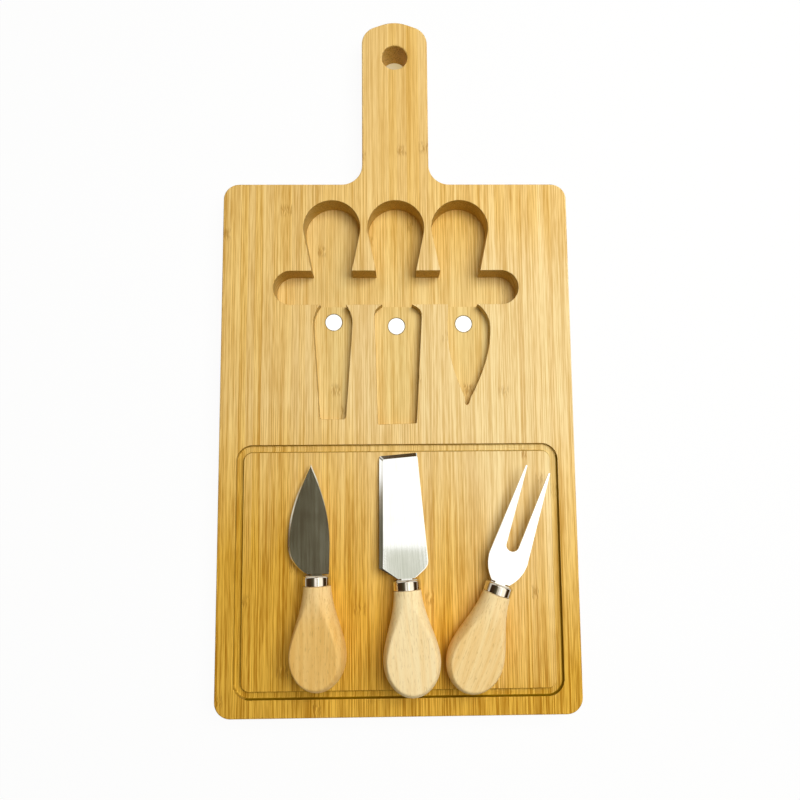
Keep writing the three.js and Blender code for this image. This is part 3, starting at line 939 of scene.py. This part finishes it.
def handle_profile():
    """The handle's radius at places along its axis, from its end to the front of its spigot."""
    neck_y = -ferrule_length - fit_gap
    belly_y = handle_end + end_length
    spigot = ferrule_radius - ferrule_wall - fit_gap
    spigot_front = -ferrule_wall - fit_gap

    def at(share, along):
        return Vector((share * belly_radius, neck_y + along * (belly_y - neck_y)))

    profile = [(belly_radius * math.sin(turn), belly_y - end_length * math.cos(turn))
               for turn in quarter_turn(end_steps)]
    neck = Vector((neck_radius, neck_y - fit_gap / 2))
    profile += [tuple(p) for p in bezier(at(1, 1), at(1, 0.7), at(0.528, 0.4), neck, side_steps)]
    profile.append((neck_radius - fit_gap / 2, neck_y))
    return profile + [(spigot, neck_y), (spigot, spigot_front), (0, spigot_front)]


def tang_slot():
    """The slot that the tang runs in, from just in front of the ferrule to the tang's end."""
    side = tang_half_width + fit_gap
    height = blade_half + fit_gap
    outline = [Vector(corner) for corner in rectangle(-side, side, -tang_length - fit_gap, 2 * fit_gap)]
    return skinned("tang slot", [level(outline, -height), level(outline, height)])


def beech_finish(name, laid, pale, deep, seed):
    """Pale beech: soft bands along the handle, fine dark pores and short flecks, and painted light that
    makes it paler at the neck.
    """
    material = bpy.data.materials.new(name)
    tree = tree_of(material)
    place = as_made(tree, laid)
    along = split(tree, place)["Y"]
    own = node(tree, "ShaderNodeVectorMath", {0: place, 1: (seed, seed * 0.7, seed * 0.4)}).outputs[0]
    bend = times(tree, noise(tree, own, (40, 14, 40), 1.0), 0.006)
    bent = node(tree, "ShaderNodeVectorMath", {0: own, 1: joined(tree, bend)}).outputs[0]
    bands = noise(tree, bent, (420, 16, 200))
    fleck = stepped(tree, noise(tree, bent, (1500, 260, 1500)), 0.56, 0.72)
    pores = noise(tree, bent, (1500, 90, 1500), 2.0, 0.6)
    tint = mixed(tree, stepped(tree, bands, 0.3, 0.72), pale, deep)
    # Paler towards the neck: painted light
    tint = mixed(tree, stepped(tree, along, *neck_part, 0.0, 0.32), tint, tone(*neck_tone))
    dark_fleck = [value * share for value, share in zip(deep, (0.60, 0.52, 0.40, 1))]
    tint = mixed(tree, times(tree, fleck, 0.42), tint, dark_fleck)
    dark_line = [value * share for value, share in zip(deep, (0.74, 0.68, 0.56, 1))]
    tint = mixed(tree, times(tree, stepped(tree, pores, 0.50, 0.74), 0.38), tint, dark_line)
    fill(tree, tree.nodes["Principled BSDF"], {
        "Base Color": tint,
        "Roughness": stepped(tree, pores, 0.3, 0.7, 0.50, 0.66),
        "Specular IOR Level": 0.3,
        "Normal": relieved(tree, weighted(tree, (pores, 1), (fleck, 0.5)), 0.25, -0.00008)})
    return material


beech_tones = {
    "pointed": (tone(251, 209, 132), tone(240, 190, 107), 0.11),
    "flat": (tone(255, 233, 186), tone(250, 220, 164), 0.53),
    "fork": (tone(253, 224, 166), tone(244, 206, 140), 0.87),
}
for tool, (pale, deep, seed) in beech_tones.items():
    beech = beech_finish(f"beech of the {tool} handle", tool_frames[tool], pale, deep, seed)
    handle = turned(f"{tool}_wooden_handle", handle_profile(), beech, half_thickness, flat_softness)
    cut(handle, [tang_slot()])
    shaded(handle, handle_crease)
    hand_over(handle, tool, "handle", beech)

# A ferrule is a cap pressed from thin stainless steel and polished. It is pushed over the spigot,
# and the tang passes through the slot in its front.
front_round = 0.0014
front_steps = 10
back_round = 0.0002
ferrule_crease = math.radians(40)


def ferrule_profile():
    """The cap's wall from the inside of its front, round its open end, to the outside of its front."""
    inner = ferrule_radius - ferrule_wall
    inside = [(0, -ferrule_wall), (inner, -ferrule_wall), (inner, -ferrule_length)]
    rim = [(ferrule_radius - back_round * (1 - math.sin(turn)),
            -ferrule_length + back_round * (1 - math.cos(turn))) for turn in quarter_turn()]
    front = [(ferrule_radius - front_round * (1 - math.cos(turn)),
              -front_round * (1 - math.sin(turn))) for turn in quarter_turn(front_steps)]
    return inside + rim + front + [(0, 0)]


polished = metal_finish("polished ferrule steel", tone(222, 214, 202), tone(206, 197, 184),
                        roughness=0.05, lines_across=(260, 260, 260))
for tool in tool_places:
    ferrule = turned(f"{tool}_steel_ferrule", ferrule_profile(), polished)
    cut(ferrule, [tang_slot()])
    shaded(ferrule, ferrule_crease)
    hand_over(ferrule, tool, "ferrule", polished)

# The pointed knife's blade is stamped from 1.5 mm stainless sheet together with its tang. The curved
# left side is ground to an edge from both faces.
edge_ease = 0.00012
edge_half = 0.00015
bevel_width = 0.001
blade_crease = math.radians(28)


def with_tang(outline):
    """A blade's outline with its tang, which is part of the same sheet."""
    return [Vector((-tang_half_width, -tang_length)), Vector((tang_half_width, -tang_length)),
            Vector((tang_half_width, fit_gap))] + outline + [Vector((-tang_half_width, fit_gap))]


pointed_full = with_tang(pointed_outline())
pointed_ground = with_tang(pointed_outline(-bevel_width, 0, -bevel_width))
pointed_blade = skinned("pointed_knife_steel", [
    level(pointed_ground, -blade_half, -edge_ease),
    level(pointed_ground, -blade_half + edge_ease),
    level(pointed_full, -edge_half),
    level(pointed_full, edge_half),
    level(pointed_ground, blade_half - edge_ease),
    level(pointed_ground, blade_half, -edge_ease),
])
shaded(pointed_blade, blade_crease)
brushed = metal_finish("brushed steel of the pointed blade", tone(250, 250, 236), tone(226, 217, 202),
                       roughness=0.20, lines_across=(760, 24, 760), laid=tool_frames["pointed"],
                       relief=0.000006)
hand_over(pointed_blade, "pointed", "blade", brushed)

# The flat knife's blade is the same sheet, cut square at the tip. Only its upper face is ground, to
# a slope 2 mm long at the tip and to a narrow one down the left side.
tip_slope = 0.002
side_slope = 0.0018
side_drop = 0.00032
side_run = 0.034
flat_ease = 0.0003
side_top = 0.0676
side_marks = (0.065, 0.055, 0.045, 0.035, 0.025, 0.015)


def down_the_left(inward, back):
    """Points down the blade's left side, or beside it where the side's slope starts."""
    spread = (flat_left_heel - flat_tip) / (side_top - flat_rise)
    return [(inward - flat_tip - (side_top - y) * spread, y - back, 0) for y in side_marks]


flat_full = with_tang(flat_outline(marks=down_the_left(0, 0)))
flat_ground = with_tang(flat_outline(
    end_growth=-tip_slope, side_growth=-side_slope, marks=down_the_left(side_slope, side_slope)))
tip_end = max(point.y for point in flat_full)


def rim_height(point):
    """The upper edge of the blade's side: sharp at the tip, then lower and lower towards the heel."""
    if point.y > tip_end - tip_slope:
        return 2 * edge_half - blade_half
    return blade_half - edge_ease - side_drop * min(1, (tip_end - point.y) / side_run)


flat_blade = skinned("flat_knife_steel", [
    level(flat_full, -blade_half, -edge_ease),
    level(flat_full, -blade_half + edge_ease),
    [(p.x, p.y, rim_height(p)) for p in flat_full],
    level(flat_ground, blade_half - edge_ease),
    level(flat_ground, blade_half, -flat_ease),
])
shaded(flat_blade, blade_crease)
bright = metal_finish("polished steel of the flat blade", tone(246, 246, 242), tone(228, 229, 222),
                      roughness=0.08, lines_across=(2300, 40, 2300), laid=tool_frames["flat"],
                      spread=0.03)
hand_over(flat_blade, "flat", "blade", bright)

# The fork is stamped from the same sheet, with two prongs that taper to blunt tips. The gap between
# them widens from a round bottom.
prong_tip = 0.0010
prong_corner = 0.00035
prong_corner_steps = 4
prong_gap_radius = 0.0034
prong_gap_bottom = 0.018
prong_gap_y = prong_gap_bottom + prong_gap_radius
fork_ease = 0.00028


def pronged():
    """The fork's outline with the gap between its prongs."""
    prong = rounded([
        (fork_side, fork_rise, 0),
        (fork_tip, fork_length, prong_corner),
        (fork_tip - prong_tip, fork_length, prong_corner),
        (prong_gap_radius, prong_gap_y, 0),
    ], prong_corner_steps)
    gap = [Vector((0, prong_gap_y)) + prong_gap_radius * Vector((math.cos(turn), -math.sin(turn)))
           for turn in quarter_turn(corner_steps)]
    return with_tang(both_sides(fork_shoulder() + prong[1:] + gap[1:]))


fork_blade = eased("fork_steel", pronged(), -blade_half, blade_half, fork_ease)
shaded(fork_blade, blade_crease)
fork_steel = metal_finish("polished steel of the fork", tone(244, 244, 240), tone(230, 230, 224),
                          roughness=0.12, lines_across=(1400, 22, 1400), laid=tool_frames["fork"])
hand_over(fork_blade, "fork", "blade", fork_steel)

# The studio's floor is a large pale sheet just under the board. It looks white to the camera. In
# the hanging hole its glow is painted the warm tone of light that has come off the bamboo, and
# there it shows more of its own shade.
half_floor = 6.0
floor_drop = 0.0003
off_the_bamboo = (214, 190, 136)
white = (1, 1, 1, 1)


def sheet(name, corners, height):
    """A flat rectangle that faces up, with a new material and that material's tree."""
    made = from_points(name, [(x, y, height) for x, y in corners], faces=[(0, 1, 2, 3)])
    paint = bpy.data.materials.new(name)
    made.data.materials.append(paint)
    return made, tree_of(paint)


floor_corners = rectangle(-half_floor, half_floor, -half_floor, half_floor)
floor, floor_tree = sheet("floor", floor_corners, -floor_drop)
floor_shader = floor_tree.nodes["Principled BSDF"]
fill(floor_tree, floor_shader, {
    "Base Color": tone(245, 245, 245), "Roughness": 0.9, "Specular IOR Level": 0.1})
floor_seen = node(floor_tree, "ShaderNodeLightPath").outputs["Is Camera Ray"]
from_hole = node(floor_tree, "ShaderNodeVectorMath", {
    0: node(floor_tree, "ShaderNodeTexCoord").outputs["Object"], 1: (0, hole_y, 0),
}, operation="DISTANCE").outputs["Value"]
floor_open = stepped(floor_tree, from_hole, hole_radius, hole_radius + clear_above)
floor_tint = mixed(floor_tree, floor_open, tone(*off_the_bamboo), white)
floor_glow = node(floor_tree, "ShaderNodeEmission", {"Color": floor_tint, "Strength": 1.0}).outputs[0]
floor_share = times(floor_tree, floor_seen, stepped(floor_tree, floor_open, 0.0, 1.0, 0.75, 0.95))
floor_mix = node(floor_tree, "ShaderNodeMixShader", {
    0: floor_share, 1: floor_shader.outputs[0], 2: floor_glow}).outputs[0]
fill(floor_tree, floor_tree.nodes["Material Output"], {"Surface": floor_mix})

# The surround is white to the camera and gives a little even light. Reflections show something
# else in its place: a bright ceiling between darker sides, with a tone for each angle.
ambient = (0.132, 0.117, 0.047, 1)
bright_ceiling = 1.3
beside_the_middle = (215, 213, 206)

surround = bpy.data.worlds.new("surround")
bpy.context.scene.world = surround
sky = tree_of(surround)
seen_by = node(sky, "ShaderNodeLightPath").outputs
toward = split(sky, node(sky, "ShaderNodeTexCoord").outputs["Generated"])


def lean(side):
    """How far a direction leans from overhead to one side: 0 to 1 for -90 to 90 degrees."""
    turn = calc(sky, "DIVIDE", calc(sky, "ARCTAN2", toward[side], toward["Z"]), math.pi)
    return calc(sky, "ADD", turn, 0.5)


def ceiling_tones(side, stops):
    """The ceiling's tone at each lean in degrees."""
    return ramped(sky, lean(side), [(degrees / 180 + 0.5, seen) for degrees, seen in stops])


across_ceiling = ceiling_tones("X", [
    (-90, (120, 98, 76)), (-70, (68, 50, 34)), (-44, (78, 62, 44)), (-33, (84, 80, 64)),
    (-24, (98, 96, 82)), (-17, (150, 140, 124)), (-10, (255, 255, 255)), (9, (255, 255, 255)),
    (15, (320, 318, 312)), (50, (320, 318, 312)), (56, (140, 125, 108)), (66, (62, 48, 30)),
    (82, (70, 48, 26)), (90, (128, 96, 56))])
along_ceiling = ceiling_tones("Y", [
    (-90, (160, 150, 130)), (-65, (230, 230, 225)), (-50, (255, 255, 255)), (33, (255, 255, 255)),
    (41, (170, 158, 136)), (57, (140, 124, 100)), (63, (80, 62, 40)), (72, (70, 54, 34)),
    (77, (190, 180, 162)), (90, (235, 228, 216))])
lower_ahead = stepped(sky, lean("Y"), 0.69, 0.77)
off_middle = calc(sky, "ABSOLUTE", calc(sky, "SUBTRACT", lean("X"), 0.5))
across_ceiling = mixed(sky, lower_ahead, across_ceiling, white)
along_ceiling = mixed(sky, stepped(sky, off_middle, 0.08, 0.14), along_ceiling, tone(*beside_the_middle))
ceiling = mixed(sky, 1.0, across_ceiling, along_ceiling, "MULTIPLY")
plain = mixed(sky, seen_by["Is Camera Ray"], ambient, white)
fill(sky, sky.nodes["Background"], {
    "Color": mixed(sky, seen_by["Is Glossy Ray"], plain, ceiling),
    "Strength": calc(sky, "MULTIPLY_ADD", seen_by["Is Glossy Ray"], bright_ceiling - 1, 1.0)})

# Polished steel needs something to show: a light grey card, which only reflections show, hangs
# where the near part of the flat knife's blade reflects it.
card_height = 0.34
card_corners = rectangle(-0.021, 0.029, -0.200, -0.0845)
card_tone = (224, 225, 213)

card, card_tree = sheet("grey card", card_corners, card_height)
card_glow = node(card_tree, "ShaderNodeEmission", {"Color": tone(*card_tone), "Strength": 1.0}).outputs[0]
fill(card_tree, card_tree.nodes["Material Output"], {"Surface": card_glow})
for ray in ("camera", "diffuse", "transmission", "volume_scatter", "shadow"):
    setattr(card, f"visible_{ray}", False)

# One large soft light hangs over the board, to the right and a little towards its far end. It is
# hidden from the camera and from reflections.
light_aim = (0, -0.04, 0)
light_distance = 0.815
light_size = 0.60
light_watts = 6.95
light_lean = math.radians(22)
light_ahead = math.radians(13)

light_data = bpy.data.lights.new("large soft light", "AREA")
light_data.shape = "SQUARE"
light_data.size = light_size
light_data.energy = light_watts
light = in_scene("large soft light", light_data)
light_turn = Matrix.Rotation(light_lean, 4, "Y") @ Matrix.Rotation(-light_ahead, 4, "X")
light_height = Matrix.Translation((0, 0, light_distance))
light.matrix_world = Matrix.Translation(light_aim) @ light_turn @ light_height
light.visible_camera = False
light.visible_glossy = False

# The camera hangs over the board as the photograph's did, 0.34 m up and tilted five degrees towards
# the board's far end.
camera_data = bpy.data.cameras.new("camera")
camera_data.sensor_width = 36
camera_data.lens = 26.12
camera_data.shift_x = -0.0060
camera_data.shift_y = 0.0318
camera_data.clip_start = 0.01
camera_data.clip_end = 50
camera = in_scene("camera", camera_data)
camera.location = (-0.00096, -0.07165, 0.3409)
camera.rotation_euler = (0.08919, -0.01524, -0.00880)
bpy.context.scene.camera = camera
bpy.context.scene.view_settings.view_transform = "Standard"
